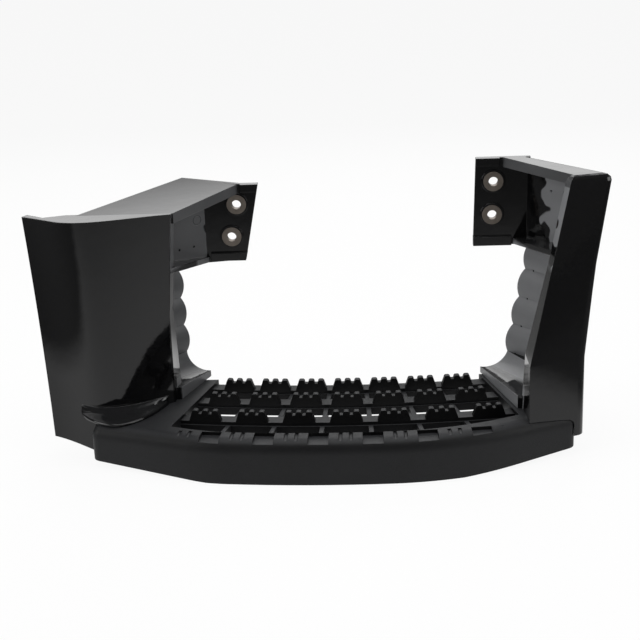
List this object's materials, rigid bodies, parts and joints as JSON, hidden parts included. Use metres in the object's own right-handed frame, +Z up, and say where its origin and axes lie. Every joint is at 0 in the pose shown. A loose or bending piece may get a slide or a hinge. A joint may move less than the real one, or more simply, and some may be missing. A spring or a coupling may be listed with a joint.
{
  "type": "truck step",
  "caption": "Moulded truck entry step: a toothed open tread hung between a curved shroud upright and a flat panel upright, each with a finger grip and a bolt-on tab.",
  "frame": {"origin": "middle of the overall box, at the bottom of the tread's apron", "axes": "+X to the right seen from the front, +Y towards the truck, +Z up"},
  "size_m": [0.6204, 0.194, 0.302],
  "materials": {
    "tread_plastic": "fine-grained black moulding",
    "upright_plastic": "glossy black moulding, satin inside",
    "sleeve_steel": "dull plated steel",
    "bolt_steel": "zinc plated steel",
    "insert_brass": "turned brass"
  },
  "bodies": {
    "root": {"tread": "tread_plastic", "left_upright": "upright_plastic", "right_upright": "upright_plastic", "left_upper_sleeve": "sleeve_steel", "left_lower_sleeve": "sleeve_steel", "right_upper_sleeve": "sleeve_steel", "right_lower_sleeve": "sleeve_steel", "left_foot_bolts": "bolt_steel", "right_foot_bolts": "bolt_steel", "left_foot_inserts": "insert_brass", "right_foot_inserts": "insert_brass"}
  },
  "joints": []
}
